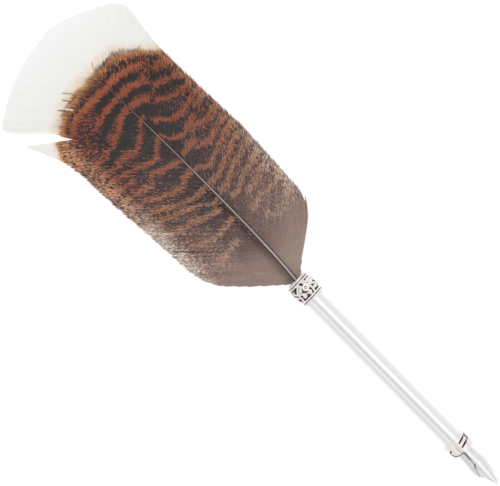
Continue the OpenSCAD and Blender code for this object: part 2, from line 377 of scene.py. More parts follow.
def desk_material():
    """White card lit from behind as well, so that shadows on it stay faint."""
    m = Nodes("pale_desk")
    fibre = m.noise(160, detail=6.0)
    m.set(
        Base_Color=m.blend((0.24, 0.24, 0.24), (0.27, 0.27, 0.27), fibre),
        Roughness=0.9,
        Emission_Color=(1.0, 1.0, 1.0, 1),
        Emission_Strength=0.84,
        Specular_IOR_Level=0.1,
    )
    return m.material


# ---- Feather: its outline and height, as in the CAD source ----
RIGHT_EDGE = [
    (0, 3.5), (5, 8.4), (10, 15.8), (20, 28.8), (26, 32.4), (40, 33.6), (70, 35.3), (100, 34.3),
    (130, 33.6), (150, 35.3), (157, 36.3), (163, 33), (168, 25), (174, 11), (FEATHER_LEN, 2),
]
LEFT_EDGE = [
    (0, 3.5), (5, 8.5), (10, 14.8), (20, 25), (30, 32.4), (40, 35.2), (60, 36.5), (90, 38.9),
    (120, 41), (134, 46), (143, 50.2),
]
# Its first point lies out of the way, because the first barb itself bounds the vane at the split
LEFT_TIP_EDGE = [
    (90, 60), (134, 33.4), (140, 38), (148, 46.3), (152, 50.6), (156, 52.3), (158, 51.6),
    (162, 46), (168, 35.5), (174, 18), (FEATHER_LEN, 3),
]
SPLIT_FROM = 98    # root of the first barb beyond the split
BOW, BOW_AT = 1.75, 62    # the shaft's bend to the right, and where it is greatest
TIP_FALL = 5.4    # how far the shaft falls to its tip
EDGE_DROOP = 3.6    # how far the vanes hang at their edges
LEFT_W, RIGHT_W = 41, 35    # the vanes' widths
VANE_FROM, FIRST_ROOT = 0.2, -2.0
BARB_GAP, BARB_STEP = 0.55, 0.6    # from root to root, and between a barb's sections
BARB_OVERLAP = 1.3
BARB_LIFT = np.array([-0.10, 0.12, -0.02])    # of its lower edge, its ridge and its upper edge
LONGEST_BARB = 64
FRAYED_AT = 22    # where the right outline is most ragged


def shaft_y(t):
    """The shaft's place across the pen."""
    near = BOW * (1 - (1 - t / BOW_AT) ** 3)
    far = BOW - 2 * BOW * ((t - BOW_AT) / (FEATHER_LEN - BOW_AT)) ** 2
    return np.where(t < BOW_AT, near, far)


def shaft_z(t):
    """The shaft's height over the desk."""
    return AXIS_Z - TIP_FALL * np.clip(t / FEATHER_LEN, 0, 1) ** 1.8


def vane_z(t, y):
    """The vanes' height over the desk."""
    across = y - shaft_y(t)
    width = np.where(across < 0, LEFT_W, RIGHT_W)
    droop = np.minimum(EDGE_DROOP, shaft_z(t) - 1.4) * np.clip(t / 50, 0, 1) ** 1.5
    return shaft_z(t) - droop * (np.abs(across) / width) ** 1.8


def barb_rise(s, root, settle=1.3):
    """How far a barb from this root climbs towards the tip by reach s, away from its ends' bends."""
    low = 0.6 * s + 0.0045 * s**2
    high = s + settle * (1 - np.exp(-s / 3.5))
    return low + (high - low) * smooth(root, -5, 42)


def right_barb(s, root):
    """Climb of a right barb, which sweeps towards the tip at its end."""
    sweep = 0.045 - 0.035 * smooth(root, 70, 120)
    return barb_rise(s, root) + sweep * np.maximum(0, s - 23) ** 2


def left_barb(s, root):
    """Climb of a left barb, which lies flatter at its end the nearer it is to the split."""
    open_out = 0.235 * smooth(root, 66, SPLIT_FROM)
    return barb_rise(s, root) - open_out * np.maximum(0, s - 29)


def left_tip_barb(s, root):
    """Climb of a barb beyond the split: the first follows the split, the last run straight."""
    first = curve(s, [(0, 0), (15, 15.6), (29, 29.5), (33.4, 36), (38, 42), (46.3, 50), (52.3, 58)])
    later = 1.1 * s + 1.3 * (1 - np.exp(-s / 3.5))
    return first + (later - first) * smooth(root, SPLIT_FROM, SPLIT_FROM + 45)


# ---- Feather: its pattern, drawn as bars across the vanes, each a list of (y, t) in mm ----
BARS_START = 1.0    # their t is measured from this far before the collar's end
RUST_BARS = [
    [(-30, 131.5), (-20, 135.5), (0, 135.5), (10, 136), (20, 133)],
    [(-17, 125), (-10, 127), (0, 128.5), (8, 128), (14, 125.5)],
    [(-30, 112), (-20, 112), (-12, 116), (-6, 119.5), (0, 121.5), (5, 120.5), (10, 118)],
    [(20, 120), (30, 114)],
    [(27, 126.5), (34, 122)],
    [(27, 98.5), (34, 100.5)],
    [(-31, 105.5), (-22, 105), (-12, 102.5), (-5, 107), (1, 112)],
    [(-31, 100.5), (-25, 98.5), (-17, 96.5), (-10, 93.5), (-6, 93), (-4, 96), (0, 99)],
    [(-33, 96), (-25, 93.5)],
    [(-33, 89), (-27, 88), (-18, 84.5), (-15, 88.5), (-8, 86.5), (0, 84)],
    [(-32, 84), (-25, 81), (-18, 77.5), (-12, 74.5), (-7, 73.5), (-5, 76.5), (0, 77)],
    [(-30, 76.5), (-22, 73), (-15, 69), (-8, 66), (0, 65)],
    [(-35, 71), (-18, 65.5), (-12, 63), (-6, 60), (-2, 57)],
    [(-32, 63), (-25, 60), (-12, 56), (-4, 53)],
    [(-31, 50), (-20, 46), (-14, 44), (-2, 45)],
    [(-20, 33), (-14, 34.5), (-8, 36)],
    [(15, 113.5), (18, 110.5), (22, 108.5), (32, 109)],
    [(7, 107), (10, 103.5), (13, 101), (16, 100), (26, 102.5), (34, 104)],
    [(3, 99), (5, 95), (9, 92.5), (12, 92), (20, 95)],
    [(17, 91), (22, 90), (32, 91)],
    [(6, 85), (9, 87), (12, 86.5)],
    [(13, 83), (18, 81.5), (24, 83), (30, 85)],
    [(4, 75.5), (8, 73), (12, 73), (18, 75.5), (25, 78), (32, 80)],
    [(4, 65.5), (10, 66), (16, 69), (23, 71.5), (30, 73.5)],
    [(6, 59), (12, 61), (16, 63.5), (25, 66), (31, 67)],
    [(8, 53.5), (11, 52.5), (15, 55.5), (22, 58), (30, 60)],
    [(15, 49), (20, 51), (28, 53)],
    [(11, 41.5), (16, 44), (24, 42.5), (33, 46)],
    [(14, 35), (16, 30.5), (25, 32), (28, 36)],
]
DARK_BARS = [
    [(-22, 122.5), (-14, 125), (-10, 131), (0, 132), (8, 133), (13, 130)],
    [(-20, 119), (-12, 123), (0, 125), (8, 125), (13, 122.5)],
    [(-24, 108.5), (-12, 111), (-5, 115.5), (0, 117.5), (6, 115.5)],
    [(21, 123), (28, 120)],
    [(20, 116), (28, 112.5)],
]
FAINT_BARS = [
    [(-30, 133), (-15, 138), (5, 139.5), (10, 139.5), (18, 137), (28, 131)],
]
# Dark specks along the edge of the rusty tip
TIP_SPECKS = [
    [(-30, 140), (-24, 143), (-15, 144.8)],
    [(3, 145.8), (9, 146.2), (14, 145.6), (19, 144), (24, 139.6)],
]
TIP_LINE = [
    (-45, 123), (-40.5, 129), (-38, 135), (-31, 139.6), (-24, 143.2), (-17, 145.2), (-10, 146.2), (0, 146),
    (8, 147.5), (14, 146.4), (19, 143.6), (25, 138.4), (32, 132.6), (40, 130),
]
GROUND = [
    (0, "#98857c"), (12, "#967f76"), (18, "#8e7871"), (27, "#7d6761"), (32, "#786461"), (41, "#6c5855"),
    (50, "#5f4f4d"), (62, "#534746"), (80, "#484142"), (100, "#3f3c3c"), (135, "#3a3233"),
]
RUST = [
    (20, "#a08a80"), (35, "#a58776"), (50, "#a07c68"), (70, "#9c6f59"), (95, "#965c48"),
    (115, "#925543"), (130, "#94543f"), (138, "#a35f43"), (146, "#b87448"),
]
MARGIN = [
    (0, "#95847a"), (30, "#cbb8ab"), (60, "#c2a795"), (75, "#c29d85"), (90, "#c49a7f"), (120, "#c08c6a"),
    (140, "#c3966e"),
]
BUFF, CREAM = linear("#cf9763"), linear("#eadcca")
WHITE = [(150, "#efeeeb"), (162, "#f2f2f0"), (174, "#f6f6f6")]

# Thin places where barbs have parted and another layer shows: from (t, y) to (t, y), and its colour
PARTINGS = [
    ((146, -24.5), (140, -20), "#f3ece2"),
    ((145, -25.2), (139.5, -21), "#7a5a48"),
    ((149.5, -17.5), (144, -13), "#a08468"),
    ((147, -20), (143.5, -17.5), "#6a4632"),
    ((54, -33.5), (45, -25), "#3b3030"),
    ((88, -21), (84, -19), "#b08a74"),
    ((18.5, -12.5), (15, -9.8), "#a3928b"),
    ((131, -30.5), (128.5, -28.5), "#4b3229"),
    ((150, 3.5), (145.5, 1), "#c9a07a"),
]
PARTING_HALF = 0.45

# Half widths of the strokes that the bars are drawn with, in mm
RUST_HALF, HALO_HALF, DARK_HALF, FAINT_HALF, SPECK_HALF = 1.45, 3.0, 1.6, 1.0, 0.9
# Stretches of t over which the plain base turns to bars, and the bars to the rusty top
BASE_TO_BARS = (22, 34)
BARS_TO_TOP = (110, 122)
FLANK_DARK = linear("#6e5045")
RIM_DARK, RIM_LIGHT = linear("#b5a69c"), linear("#d2c3b7")
BASE_PALE = linear("#a59688")

# Wavering of the bars' edges, of neighbouring barbs' brightness, and of the flanks' lightness
toothing = Cloud(3)
mottle = Cloud(4)
drift = Cloud(5)


def bar_strength(t, y, bars, half):
    """How strongly any of the bars colours each place."""
    strength = np.zeros_like(t)
    for bar in bars:
        across, along = zip(*bar)
        centre = np.interp(y, across, along)
        beyond = np.maximum(0, np.maximum(across[0] - y, y - across[-1]))
        away = np.abs(t - centre) / half
        strength = np.maximum(strength, (1 - smooth(away, 0.5, 1.5)) * (1 - smooth(beyond, 1, 4)))
    return strength


def bar_lightness(t, y, shifted, vein, specks):
    """How far towards the light colour each place is, from the bars that cross it."""
    top = smooth(t, *BARS_TO_TOP)
    rust = bar_strength(shifted, y, RUST_BARS, RUST_HALF)
    halo = bar_strength(shifted, y, RUST_BARS, HALO_HALF)
    dark = bar_strength(shifted, y, DARK_BARS, DARK_HALF)
    faint = bar_strength(shifted, y, FAINT_BARS, FAINT_HALF)
    outward = smooth(np.abs(y), 8, 26) * (1 - 0.6 * top)
    lightness = 0.02 + 0.3 * top + 0.1 * halo + 0.1 * outward + 0.78 * rust + 0.08 * vein
    depth = 0.7 - 0.12 * smooth(t, 118, 128)
    return lightness - depth * dark - 0.22 * faint - 0.4 * specks


def flank_share(t, y):
    """How strongly the mottled flank along the outline covers the bars."""
    narrower = 3 * smooth(t, 60, 80)
    left_share = smooth(-y, 25 + narrower, 36.5)
    right_strength = 0.75 - 0.25 * smooth(t, 58, 68) * (1 - smooth(t, 118, 128))
    return np.where(y < 0, left_share, right_strength * smooth(y, 24 + narrower, 33))


def pale_rim(dark, light, t, y):
    """Greys the outline of the feather's lower half."""
    left = y < 0
    begin, end = np.where(left, 26, 30.5), np.where(left, 35, 34)
    rim = smooth(np.abs(y), begin, end) * (1 - smooth(t, 58, 90))
    dark = mix(dark, RIM_DARK, np.where(left, 0.75, 0.45) * rim)
    return dark, mix(light, RIM_LIGHT, np.where(left, 0.8, 0.5) * rim)


def whiten_tip(shade, t, past, buff_share, cream_share, glow):
    """A shade turned through buff and cream to white, by how far past the rusty edge it lies."""
    buffed = smooth(past, -6, -1.5) * 0.8 * buff_share
    creamy = smooth(past, -2, 0.6) * cream_share
    white = smooth(past, 0, 6)
    shade = mix(mix(mix(shade, BUFF, buffed), CREAM, creamy), colour_at(t, WHITE), white)
    return shade * (1 + glow * (1 - white))[..., None]


def plumage(t, y, barb, tooth):
    """Dark and light colours of the vane, the share that is light, and how flecked it is."""
    t = t + BARS_START
    left = y < 0
    base = 1 - smooth(t, *BASE_TO_BARS)
    shifted = t + tooth + 0.7 * toothing(t / 5, y / 5)
    vein = mottle(barb * 0.45, np.abs(y) * 0.25)
    specks = bar_strength(shifted, y, TIP_SPECKS, SPECK_HALF) * np.where(left, 0.35, 0.85)
    warm = bar_lightness(t, y, shifted, vein, specks)

    slanted = t - 0.55 * np.abs(y) * (1 - smooth(t, 60, 110))
    margin = flank_share(t, y) * (1 - 0.5 * base)
    dark = mix(colour_at(slanted, GROUND), FLANK_DARK, margin * 0.36)
    light = mix(colour_at(t, RUST), colour_at(t, MARGIN), margin)
    warm = warm * (1 - base) + margin * (0.42 + 0.18 * drift(t / 6, y / 4))

    # Painted shadow of the shaft on the vane just to its left, fading out between t 50 and 90
    shaft_shadow = np.exp(-(((y - shaft_y(t) + 2.0) / 2.2) ** 2)) * (1 - smooth(t, 50, 90))
    dark = dark * (1 - 0.42 * shaft_shadow)[..., None]
    dark, light = pale_rim(dark, light, t, y)
    inner_left = left * (1 - smooth(-y, 10, 17)) * smooth(t, 20, 32) * (1 - smooth(t, 66, 78))
    dark = dark * (1 - 0.2 * inner_left)[..., None]
    warm = warm - 0.12 * inner_left
    right_base = (1 - left) * (1 - smooth(t, 10, 22))
    dark = mix(dark, BASE_PALE, 0.5 * right_base)

    past = t + 0.8 * tooth + 0.9 * toothing(t / 4, y / 4) - np.interp(y, *zip(*TIP_LINE))
    dark = whiten_tip(dark, t, past, 0.75 * (1 - specks), 1 - 0.6 * specks, 0.05 * vein)
    light = whiten_tip(light, t, past, 1, 1, 0.05 * vein)
    for begin, end, colour in PARTINGS:
        line = stroke_height(t, y, [begin, end], PARTING_HALF, 0.8)
        dark, light = mix(dark, linear(colour), line), mix(light, linear(colour), line)

    fleck = 0.95 + 0.75 * smooth(np.abs(y), 8, 24) + 0.35 * (1 - smooth(t, 60, 100))
    fleck = fleck * (1 - 0.75 * base) * (1 - 0.93 * smooth(past, -2, 0.6))
    return dark, light, warm, fleck


def barb_faces(sections, first, side):
    """Faces of one three-sided ribbon of so many sections, and which of them are its underside."""
    i = np.arange(sections - 1)[:, None] * 3 + first
    rows = [i + [0, 1, 4, 3], i + [1, 2, 5, 4], i + [2, 0, 3, 5]]
    last = first + 3 * (sections - 1)
    ends = [(first, first + 2, first + 1), (last, last + 1, last + 2)]
    if side > 0:
        rows = [row[:, ::-1] for row in rows]
        ends = [end[::-1] for end in ends]
    faces = [tuple(f) for row in rows for f in row]
    under = [0] * (2 * (sections - 1)) + [1] * (sections - 1)
    return faces + ends, under + [0, 0]


def barb_reach(root, side, path, edge, fray):
    """Where along its path a barb leaves the shaft's middle and where it meets the outline."""
    s = np.arange(0, LONGEST_BARB, 0.05)
    t = root + path(s, root)
    reach = side * shaft_y(t) + s
    ragged = 1 + 2.5 * (np.exp(-(((t - FRAYED_AT) / 7) ** 2)) if side > 0 else 0)
    limit = curve(t, edge) + fray * ragged * np.clip(rng.normal(), -2, 1)
    outside = np.flatnonzero((reach > limit) | (t > FEATHER_LEN + 0.4) | (t > edge[-1][0]))
    stop = s[outside[0]] if len(outside) else s[-1]
    return s[np.argmax(t > VANE_FROM)], stop


def vane(name, node, side, roots, path, edge, material, fray=0.3):
    """One vane as rows of closed barbs, each a thin three-sided ribbon from the shaft to the outline."""
    points, bake, faces, underside = [], [], [], []
    darks, lights, warms, flecks, barbs = [], [], [], [], []
    count = 0
    for number, root in enumerate(roots):
        begin, stop = barb_reach(root, side, path, edge, fray)
        if stop < begin + 1:
            continue
        s = np.linspace(begin, stop, int((stop - begin) / BARB_STEP) + 3)
        t = root + path(s, root)
        y = side * (side * shaft_y(t) + s)

        # Each ribbon is wide enough to cover part of its neighbour, and narrows to its end
        spread = root + BARB_GAP + path(s, root + BARB_GAP) - t
        slope = np.gradient(t, s)
        length = np.sqrt(1 + slope**2)
        half = 0.5 * BARB_OVERLAP * np.abs(spread) / length
        half *= 1 - 0.7 * smooth(s, stop - 1.2, stop)
        step_t, step_y = half / length, -side * half * slope / length
        t3 = np.stack([t - step_t, t, t + step_t], 1)
        y3 = np.stack([y - step_y, y, y + step_y], 1)
        wave = 0.12 * math.sin(number * 0.37) * smooth(s, 8, 30)
        points.append(world_points(-t3, y3, vane_z(t3, y3) + BARB_LIFT + wave[:, None]))

        tooth = 0.5 * rng.normal()
        dark, light, warm, fleck = plumage(t3, y3, np.full_like(t3, number), tooth)
        tone = 1 + 0.06 * rng.normal() * fleck[..., None]
        darks.append((dark * tone).reshape(-1, 3))
        lights.append((light * tone).reshape(-1, 3))
        warms.append(warm.ravel())
        flecks.append(fleck.ravel())
        along = np.repeat(s[:, None], 3, 1) * 1.15
        barbs.append(np.stack([np.full_like(t3, 1.37 * number), along, 0 * t3], -1).reshape(-1, 3))
        bake.append(np.stack([t3, np.abs(y3)], -1).reshape(-1, 2))
        new_faces, new_under = barb_faces(len(s), count, side)
        faces += new_faces
        underside += new_under
        count += 3 * len(s)
    piece = add_mesh(name, np.concatenate(points), faces, material, "pen", [node])
    paint(piece, "dark_barb", np.concatenate(darks))
    paint(piece, "light_barb", np.concatenate(lights))
    weigh(piece, "warm", np.concatenate(warms))
    weigh(piece, "fleck", np.concatenate(flecks))
    layer = piece.data.attributes.new("barb", "FLOAT_VECTOR", "POINT")
    layer.data.foreach_set("vector", np.concatenate(barbs).astype(np.float32).ravel())
    lay_out(piece, np.concatenate(bake), np.array(underside))


LAYOUT_SIZE = 180.0


def lay_out(piece, flat, under):
    """Maps a feather piece flat, upper faces in one half and the underside in the other."""
    mesh = piece.data
    layer = mesh.uv_layers.new(name="OFBake")
    corner = np.zeros(len(mesh.loops), int)
    mesh.loops.foreach_get("vertex_index", corner)
    totals = np.zeros(len(mesh.polygons), int)
    mesh.polygons.foreach_get("loop_total", totals)
    low = np.repeat(under, totals)
    uv = flat[corner] / LAYOUT_SIZE
    uv[:, 1] += np.where(low == 1, 0.52, 0.02)
    layer.data.foreach_set("uv", np.clip(uv, 0, 1).astype(np.float32).ravel())


# Colours of the shaft's ridge and of its flanks, by t
RIDGE = [
    (0, "#c9bcb7"), (60, "#b5a7a2"), (100, "#a08f8a"), (135, "#6b5853"), (150, "#d9c4a6"), (158, "#f0f0ee"),
]
FLANKS = [
    (0, "#4b3a3b"), (60, "#41383a"), (120, "#352d2e"), (140, "#6e4b38"), (148, "#dccbb2"), (158, "#f0f0ee"),
]
QUILL = linear("#cdb9a5")
QUILL_R = 1.25
QUILL_END = 11


def rachis(material):
    """The shaft: a light ridge between dark flanks, thinning to the tip, and the quill in the pen."""
    sides = 16
    quill_rows = [-QUILL_END, 0.4 - QUILL_END, *np.arange(-9, 0, 3)]
    ts = np.concatenate([quill_rows, np.arange(0, FEATHER_LEN, 1.5), [FEATHER_LEN + 0.2]])
    turn = np.arange(sides) * 2 * math.pi / sides
    t = ts[:, None]
    inside = t < 0
    half = np.where(inside, QUILL_R, 0.2 + 0.95 * np.maximum(0, 1 - np.maximum(t, 0) / 135))
    half = half * np.where(t < 0.3 - QUILL_END, 0.7, 1)
    tall = np.where(inside, half, half * 0.9 + 0.1)
    middle = np.where(inside, 0, shaft_y(np.maximum(t, 0)))
    height = np.where(inside, AXIS_Z, shaft_z(np.maximum(t, 0)) + 0.08 - 0.9 * smooth(t, 128, 150))
    points = world_points(-t, middle + half * np.sin(turn), height + tall * np.cos(turn))
    i, k = np.arange(len(ts) - 1)[:, None] * sides, np.arange(sides)
    j, m = i + sides, (k + 1) % sides
    faces = np.stack([i + k, j + k, j + m, i + m], -1).reshape(-1, 4).tolist()
    last = len(ts) * sides - 1
    faces += [range(sides), range(last, last - sides, -1)]
    lean = np.abs(np.degrees(front_angle(turn)))
    t_all, lean_all = np.broadcast_arrays(t, lean[None, :])
    shades = mix(colour_at(t_all, RIDGE), colour_at(t_all, FLANKS), smooth(lean_all, 12, 30))
    shades = np.where((t_all < -0.5)[..., None], QUILL, shades)
    piece = add_mesh("shaft", points, faces, material, "pen", ["feather_shaft"], soft=True)
    paint(piece, "horn", shades.reshape(-1, 3))


# ---- Metal rings: a relief round the pen's axis ----
SHARP = 48    # degrees over which an edge stays sharp


def ring_piece(name, node, start, outer_u, radius, inner, material, relief=None, sides=360):
    """A closed ring. radius(u, turn) is its outside, inner is its bore's outline back to the start."""
    outside = len(outer_u)
    rows = [*outer_u, *[u for u, r in inner]]
    u, turn = np.meshgrid(rows, np.arange(sides) * 2 * math.pi / sides, indexing="ij")
    bore = np.repeat([[r] for u, r in inner], sides, 1)
    r = np.concatenate([radius(u[:outside], turn[:outside]), bore])
    points = world_points(start + u, r * np.sin(turn), AXIS_Z + r * np.cos(turn))
    i, k = np.arange(len(rows))[:, None] * sides, np.arange(sides)
    j, m = np.roll(i, -1, 0), (k + 1) % sides
    faces = np.stack([i + k, j + k, j + m, i + m], -1).reshape(-1, 4)
    piece = add_mesh(name, points, faces, material, "pen", [node], soft=True)
    if relief is not None:
        values = np.ones(u.shape)
        values[:outside] = relief(u[:outside], turn[:outside], r[:outside])
        weigh(piece, "relief", values.ravel())
    piece.modifiers.new("edges", "EDGE_SPLIT").split_angle = math.radians(SHARP)
    return piece


def fine_rows(length):
    """Places of a carved ring's sections, close together all along it."""
    return np.concatenate([[0, 0.02], np.arange(0.1, length, 0.1), [length - 0.02, length]])


def front_angle(turn):
    """The turn about the axis, from -pi to pi with 0 on top."""
    return np.where(turn > math.pi, turn - 2 * math.pi, turn)


def rounded(points, steps=5):
    """The same path with smooth corners."""
    p = np.array(points, float)
    if len(p) < 3:
        return p
    place = np.arange(len(p))
    fine = np.linspace(0, len(p) - 1, (len(p) - 1) * steps + 1)
    return np.stack([curve(fine, np.stack([place, p[:, k]], 1)) for k in (0, 1)], 1)


def curl(centre, r, start, end, steps=12):
    """An arc of a circle as a path, angles in degrees."""
    a = np.radians(np.linspace(start, end, steps))
    return [(centre[0] + r * x, centre[1] + r * y) for x, y in zip(np.cos(a), np.sin(a))]


# Raised scrolls of the upper collar as seen from the front: half width and height, then (u, y), in mm
SCROLLS = [
    (0.66, 0.6, [(1.6, 1.2), (3.4, 1.7), (4.6, 2.4), (5.6, 3.1)]),
    (0.60, 0.6, curl((4.3, 5.1), 1.2, 170, 500)),
    (0.95, 0.5, [(4.3, 5.0), (4.4, 5.2)]),
    (0.60, 0.6, curl((5.7, 0.7), 1.35, 60, 400)),
    (0.90, 0.22, [(5.7, 0.6), (5.8, 0.8)]),
    (1.00, 0.25, [(2.8, 2.7), (3.8, 3.3)]),
    (0.60, 0.6, [(6.8, 1.6), (6.3, 2.4), (5.6, 3.1)]),
    (0.62, 0.6, [(5.6, 3.1), (6.2, 4.3), (7.0, 5.7), (8.2, 6.2), (9.0, 5.4)]),
    (0.80, 0.55, [(8.6, 4.4), (8.2, 5.2)]),
    (0.62, 0.6, [(6.3, 3.1), (7.8, 3.3), (9.2, 3.1), (10.8, 2.8)]),
    (0.75, 0.6, [(9.2, 1.1), (8.6, 1.4)]),
    (0.55, 0.6, [(7.1, 0.5), (8.1, 1.0), (8.7, 0.2), (8.2, -0.6)]),
    (0.80, 0.22, [(9.2, 0.0), (9.8, 0.6)]),
    (0.62, 0.6, [(5.7, -4.7), (4.6, -4.1), (3.5, -3.0), (2.6, -1.9), (3.3, -1.0), (4.6, -0.6)]),
    (0.60, 0.6, [(5.3, -3.1), (4.5, -2.2), (4.0, -1.4)]),
    (0.80, 0.25, [(5.0, -2.0), (5.6, -2.4)]),
    (0.60, 0.6, [(5.7, -4.7), (6.9, -5.0), (8.3, -4.9), (9.5, -5.4), (10.8, -5.2)]),
    (0.62, 0.6, [(5.9, -4.2), (6.9, -3.0), (7.7, -1.9), (8.5, -2.0), (9.1, -2.9), (8.7, -3.5)]),
    (0.80, 0.5, [(7.6, -2.9), (8.2, -2.8)]),
    (0.55, 0.6, [(3.4, -5.8), (4.3, -6.2), (5.3, -5.4)]),
    (0.55, 0.6, [(6.3, -6.4), (7.3, -5.9)]),
    (0.60, 0.6, [(2.9, 6.4), (4.7, 6.75), (5.9, 6.6)]),
    (0.60, 0.6, [(7.3, 6.8), (8.9, 6.75), (10.4, 6.3)]),
    (0.60, 0.6, [(2.4, -6.75), (4.2, -6.85)]),
    (0.60, 0.6, [(6.2, -6.8), (7.6, -6.87), (9.0, -6.75), (10.4, -6.3)]),
]
COLLAR_LEAN = math.radians(2.5)


def wrapped(arc, radius):
    """Arc lengths measured from the top of the ring, repeated on its back."""
    half_round = math.pi * radius
    return (arc + half_round / 2) % half_round - half_round / 2


def upper_collar(material):
    """A drum with two beads at each end and raised scrolls on a sunk, darkened ground."""
    ground = UPPER_R - 0.95
    middle_swell = 0.4
    bead_half = 0.55

    def bead(near, middle, height):
        return height * np.sqrt(np.clip(1 - ((near - middle) / bead_half) ** 2, 0, 1))

    def scrolls(u, turn):
        arc = wrapped(front_angle(turn) * UPPER_R, UPPER_R)
        height = np.zeros_like(u)
        for half, tall, path in SCROLLS:
            flat = np.array(path)
            arcs = UPPER_R * np.arcsin(np.clip(flat[:, 1] / UPPER_R, -1, 1))
            bent = np.stack([flat[:, 0], arcs], 1)
            height = np.maximum(height, stroke_height(u, arc, rounded(bent), half, tall))
        return height

    def radius(u, turn):
        near = np.minimum(u, UPPER_LEN - u)
        swell = middle_swell * smooth(near, 2, 5)
        beads = np.maximum(bead(near, 0.5, 0.45), bead(near, 1.85, 0.72))
        field = (scrolls(u, turn) + swell) * smooth(near, 1.5, 2.3)
        return np.minimum(ground + np.maximum(beads, field), UPPER_R)

    def relief(u, turn, r):
        near = np.minimum(u, UPPER_LEN - u)
        raised = smooth(r - ground - middle_swell * smooth(near, 2, 5), 0.05, 0.4)
        return np.where(near < 0.4, 0.9, raised)

    outer = fine_rows(UPPER_LEN)
    bore = [(UPPER_LEN, SLEEVE_R), (0, SLEEVE_R)]
    piece = ring_piece("upper_collar_cast", "upper_collar", 0, outer, radius, bore,
                       material, relief)
    centre = Vector((START + UPPER_LEN / 2, AXIS_Y, AXIS_Z)) * MM
    lean = Matrix.Translation(centre) @ Matrix.Rotation(COLLAR_LEAN, 4, "Z") @ Matrix.Translation(-centre)
    piece.data.transform(lean)


# Lower collar seen from the front, (u, y) in mm: a recessed panel, the tongue in it, and a lobe's outline
PANEL = [
    (1.1, 5.8), (0.95, 6.65), (4.9, 6.65), (5.8, 0.3), (5.3, -0.3), (4.6, 0.6), (3.2, 0.6), (2.7, -0.1),
    (2.2, 0.7),
]
TONGUE = [(3.2, 4.5), (3.4, 3.9), (3.65, 2.6), (3.95, 1.0), (4.0, 0.0)]
LOBE_DOTS = [(3.4, -2.3), (4.2, -2.3), (5.0, -2.2), (5.8, -2.3), (6.6, -2.0), (7.6, 2.3)]
LOBE_ARC = [(5.4, -6.3), (6.6, -5.6), (7.2, -4.6), (7.5, -3.2), (7.6, -1.8), (7.6, -0.8)]
LOBE_CUT = [(4.8, -6.6), (4.1, -6.1), (3.3, -5.4)]
PANEL_DEPTH = 0.4
LIP_LEN, LIP_R = 1.0, 4.57    # the rim that stops the barrel and lets the nib through


def inside_outline(u, y, corners):
    """How far each place lies inside a closed outline; negative outside."""
    p = np.array(corners, float)
    q = np.roll(p, -1, 0)
    edge = np.full(u.shape, 1e9)
    within = np.zeros(u.shape, bool)
    for a, b in zip(p, q):
        edge = np.minimum(edge, distance(u, y, a, b))
        run, rise = b - a
        crosses = (a[1] > y) != (b[1] > y)
        within ^= crosses & (u < run * (y - a[1]) / (rise if rise else 1e-9) + a[0])
    return np.where(within, edge, -edge)


def lower_collar(material):
    """A band between two low rims, with the panel and the lobe cut into it on the front and the back."""

    def carved(u, turn):
        y = LOWER_R * np.sin(turn)
        sunk = smooth(inside_outline(u, y, PANEL), 0, 0.3) * (1 - 0.45 * smooth(y, 3.4, 4.6))
        tongue = stroke_height(u, y, rounded(TONGUE), 0.8, 1.2)
        sunk = np.clip(sunk - tongue, 0, 1)
        line = stroke_height(u, y, rounded(LOBE_ARC), 0.36, 0.95)
        line = np.maximum(line, stroke_height(u, y, rounded(LOBE_CUT), 0.4, 0.9))
        dots = np.zeros_like(u)
        for dot in LOBE_DOTS:
            dots = np.maximum(dots, stroke_height(u, y, [dot, (dot[0] + 0.05, dot[1])], 0.26, 0.75))
        return np.maximum(np.maximum(sunk, line), dots)

    def radius(u, turn):
        near = np.minimum(u, LOWER_LEN - u)
        rim = LOWER_R - 0.35 * (1 - smooth(near, 0, 0.35))
        waist = 0.22 * smooth(near, 0.75, 1.2)
        return rim - waist - PANEL_DEPTH * carved(u, turn)

    def relief(u, turn, r):
        return np.minimum(1 - smooth(LOWER_R - 0.2 - r, 0.05, 0.35), 1 - 0.8 * carved(u, turn))

    lip = LOWER_LEN - LIP_LEN
    inner = [(LOWER_LEN, LIP_R), (lip, LIP_R), (lip, SLEEVE_R), (0, SLEEVE_R)]
    ring_piece("lower_collar_cast", "lower_collar", LOWER_FROM, fine_rows(LOWER_LEN), radius, inner,
               material, relief)


def plain_profile(points):
    """Outside radius from a few (u, r) corners."""
    return lambda u, turn: np.interp(u, *zip(*points))


TUBE_WALL = 0.35
EDGE_BREAK = 0.1
RING_BEVEL = 0.35


def barrel(material):
    """The polished tube, with its sharp ends taken off."""
    start = (tube_low.x - upper_low.x) / MM
    length = (tube_high.x - tube_low.x) / MM
    near, far = EDGE_BREAK, length - EDGE_BREAK
    outer = [(0, BARREL_R - EDGE_BREAK), (near, BARREL_R), (far, BARREL_R), (length, BARREL_R - EDGE_BREAK)]
    inside = BARREL_R - TUBE_WALL
    steps = [0, near, *np.linspace(2, length - 2, 24), far, length]
    ring_piece("barrel", "barrel_tube", start, steps, plain_profile(outer),
               [(length, inside), (0, inside)], material, sides=192)


def end_ring(material):
    """The thin plain ring below the upper collar, bevelled towards the nib."""
    bevel = RING_LEN - RING_BEVEL
    near, far = (EDGE_BREAK, RING_R), (RING_LEN, RING_R - RING_BEVEL)
    corners = [(0, RING_R - EDGE_BREAK), near, (bevel, RING_R), far]
    steps = [0, EDGE_BREAK, RING_LEN / 2, bevel, RING_LEN - 0.2, RING_LEN]
    ring_piece("ring", "end_ring", UPPER_LEN, steps, plain_profile(corners),
               [(RING_LEN, SLEEVE_R), (0, SLEEVE_R)], material, sides=192)


# ---- Nib ----
NIB_ROLL = math.radians(15)
NIB_T = 0.3
SHANK_R = 4.4
SHOULDER_R = 5.05
SHOULDER_AT = 13.5
TIP_SLOPE = math.tan(math.radians(13))
TIP_DIP = 0.006
PELLET_R = 0.55
